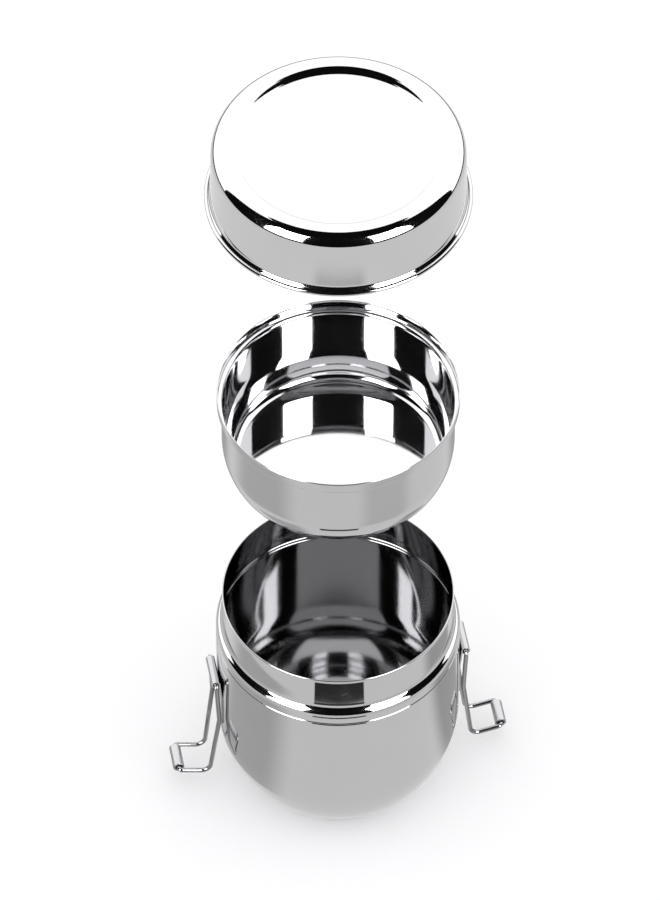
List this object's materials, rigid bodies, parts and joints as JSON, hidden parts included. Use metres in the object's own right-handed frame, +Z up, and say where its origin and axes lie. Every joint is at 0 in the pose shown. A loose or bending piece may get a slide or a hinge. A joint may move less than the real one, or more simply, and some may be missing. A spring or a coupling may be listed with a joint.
{
  "type": "tiffin carrier",
  "caption": "Round stainless steel lunch carrier: a deep necked container, a bowl that nests in its neck, a cap lid, and swinging wire clips with grip sleeves on the sides.",
  "frame": {"origin": "centre of the container's base, on the surface it stands on", "axes": "+Z up along the common axis of the container, bowl and lid; the clips are on -X and +X and hinge about Y"},
  "size_m": [0.1632, 0.1206, 0.4388],
  "materials": {
    "polished_steel": "mirror-polished stainless steel with fine circular polishing lines",
    "bracket_steel": "pressed stainless strip, bright with fine scratches",
    "wire_steel": "drawn stainless wire, fairly bright",
    "sleeve_steel": "rolled stainless sleeve, satin"
  },
  "bodies": {
    "container": {"container_shell": "polished_steel", "left_clip_bracket": "bracket_steel", "right_clip_bracket": "bracket_steel"},
    "bowl": {"middle_bowl": "polished_steel"},
    "lid": {"lid": "polished_steel"},
    "left_clip": {"left_clip_wire": "wire_steel"},
    "left_sleeve": {"left_clip_sleeve": "sleeve_steel"},
    "right_clip": {"right_clip_wire": "wire_steel"},
    "right_sleeve": {"right_clip_sleeve": "sleeve_steel"}
  },
  "joints": [
    {"name": "bowl_lift", "type": "slide", "parent": "container", "child": "bowl", "axis": [0, 0, 1], "range_m": [-0.1385, 0]},
    {"name": "lid_lift", "type": "slide", "parent": "bowl", "child": "lid", "axis": [0, 0, 1], "range_m": [-0.164, 0]},
    {"name": "left_clip_swing", "type": "hinge", "parent": "container", "child": "left_clip", "pos_m": [-0.0605, 0, 0.0758], "axis": [0, 1, 0], "range_deg": [0, 180]},
    {"name": "right_clip_swing", "type": "hinge", "parent": "container", "child": "right_clip", "pos_m": [0.0605, 0, 0.0758], "axis": [0, -1, 0], "range_deg": [0, 180]},
    {"name": "left_sleeve_spin", "type": "hinge", "parent": "left_clip", "child": "left_sleeve", "pos_m": [-0.0789, 0, 0.0136], "axis": [0, 1, 0], "continuous": true},
    {"name": "right_sleeve_spin", "type": "hinge", "parent": "right_clip", "child": "right_sleeve", "pos_m": [0.0789, 0, 0.0136], "axis": [0, 1, 0], "continuous": true}
  ]
}
